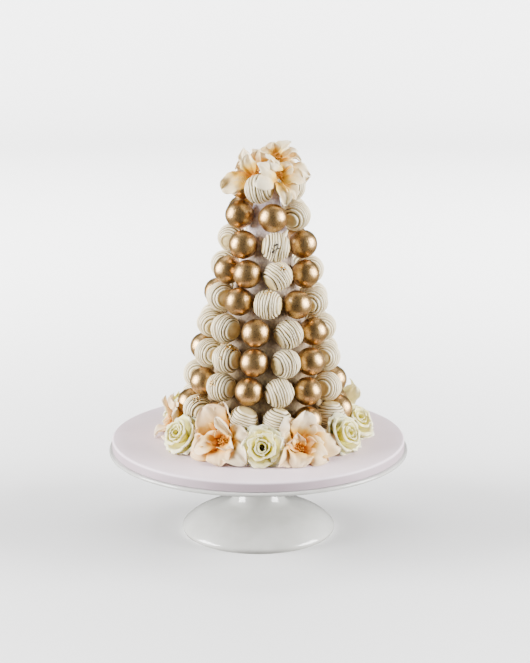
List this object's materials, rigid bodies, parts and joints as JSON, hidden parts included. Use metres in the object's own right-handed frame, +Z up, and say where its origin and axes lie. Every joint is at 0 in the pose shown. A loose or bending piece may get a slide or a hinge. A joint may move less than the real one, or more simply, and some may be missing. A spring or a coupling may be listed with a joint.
{
  "type": "cake pop tower",
  "caption": "Foam cone covered with gold and drizzled ivory cake pops, ringed and topped with silk roses and magnolias, on a round board and a pedestal cake stand.",
  "frame": {"origin": "centre of the stand's foot, on the table it stands on", "axes": "+Z up along the stand's axis, -Y the front of the tower, +X its right seen from the front"},
  "size_m": [0.311, 0.3096, 0.4124],
  "materials": {
    "stand_glaze": "white glazed ceramic, glossy",
    "board_paper": "pale paper-covered cake drum, satin",
    "foam": "white foam, matt, with the pops at the back in the same slot",
    "gold_lustre": "chocolate brushed with gold lustre dust, satin metallic",
    "ivory_chocolate": "ivory chocolate with a drizzle of the same, soft gloss",
    "rose_silk": "cream silk cloth, matt",
    "magnolia_silk": "peach and white silk cloth, matt"
  },
  "bodies": {
    "root": {"cake_board": "board_paper", "cake_stand": "stand_glaze", "cone_and_back_pops": "foam", "gold_pop_2_1": "gold_lustre", "gold_pop_2_2": "gold_lustre", "gold_pop_3_2": "gold_lustre", "gold_pop_3_4": "gold_lustre", "gold_pop_4_2": "gold_lustre", "gold_pop_4_3": "gold_lustre", "gold_pop_4_5": "gold_lustre", "gold_pop_5_3": "gold_lustre", "gold_pop_5_5": "gold_lustre", "gold_pop_6_3": "gold_lustre", "gold_pop_6_5": "gold_lustre", "gold_pop_7_4": "gold_lustre", "gold_pop_7_6": "gold_lustre", "gold_pop_8_2": "gold_lustre", "gold_pop_8_4": "gold_lustre", "gold_pop_8_6": "gold_lustre", "gold_pop_9_3": "gold_lustre", "gold_pop_9_6": "gold_lustre", "magnolia_1": "magnolia_silk", "magnolia_2": "magnolia_silk", "magnolia_3": "magnolia_silk", "magnolia_4": "magnolia_silk", "magnolia_5": "magnolia_silk", "rose_1": "rose_silk", "rose_2": "rose_silk", "rose_3": "rose_silk", "rose_4": "rose_silk", "rose_5": "rose_silk", "rose_6": "rose_silk", "rose_7": "rose_silk", "striped_pop_1_2": "ivory_chocolate", "striped_pop_1_3": "ivory_chocolate", "striped_pop_2_3": "ivory_chocolate", "striped_pop_3_3": "ivory_chocolate", "striped_pop_4_4": "ivory_chocolate", "striped_pop_5_2": "ivory_chocolate", "striped_pop_5_4": "ivory_chocolate", "striped_pop_5_6": "ivory_chocolate", "striped_pop_6_1": "ivory_chocolate", "striped_pop_6_2": "ivory_chocolate", "striped_pop_6_4": "ivory_chocolate", "striped_pop_7_2": "ivory_chocolate", "striped_pop_7_3": "ivory_chocolate", "striped_pop_7_5": "ivory_chocolate", "striped_pop_7_7": "ivory_chocolate", "striped_pop_8_3": "ivory_chocolate", "striped_pop_8_5": "ivory_chocolate", "striped_pop_8_7": "ivory_chocolate", "striped_pop_9_2": "ivory_chocolate", "striped_pop_9_4": "ivory_chocolate", "striped_pop_9_5": "ivory_chocolate", "striped_pop_9_7": "ivory_chocolate", "top_magnolia_spray": "magnolia_silk"}
  },
  "joints": []
}
